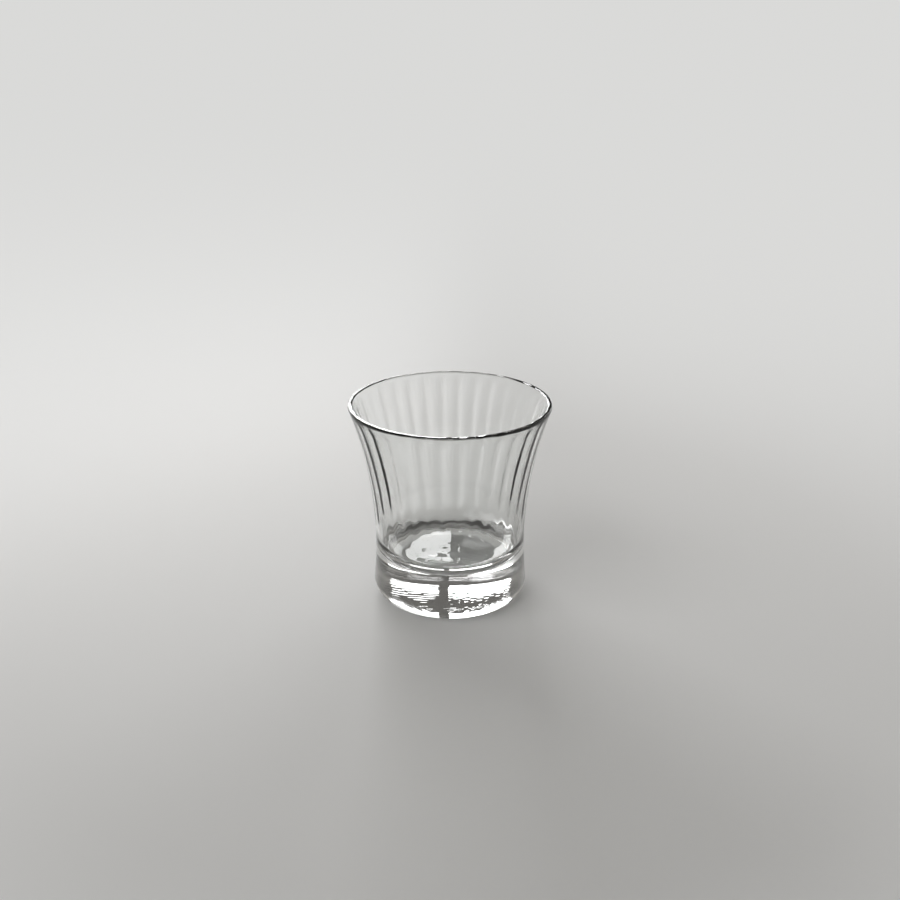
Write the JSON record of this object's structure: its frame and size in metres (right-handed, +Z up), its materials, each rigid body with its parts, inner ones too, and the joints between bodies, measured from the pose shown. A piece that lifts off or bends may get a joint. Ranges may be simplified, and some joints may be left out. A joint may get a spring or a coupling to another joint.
{
  "type": "shot glass",
  "caption": "Clear blown shot glass with a flared, optic-ribbed bowl, a fine rounded rim and a thick solid foot with a rounded heel.",
  "frame": {"origin": "centre of the ring that the glass stands on, in the plane of the table", "axes": "+Z up the glass's axis towards the rim; X and Y are alike, with a gap between two ribs on +X"},
  "size_m": [0.058, 0.058, 0.0592],
  "materials": {
    "bowl_glass": "clear fire-polished soda-lime glass, thin-walled, with soft optic ribs inside",
    "foot_glass": "clear thick soda-lime glass, fire-polished, faintly rippled underneath"
  },
  "bodies": {
    "root": {"bowl": "bowl_glass", "foot": "foot_glass"}
  },
  "joints": []
}
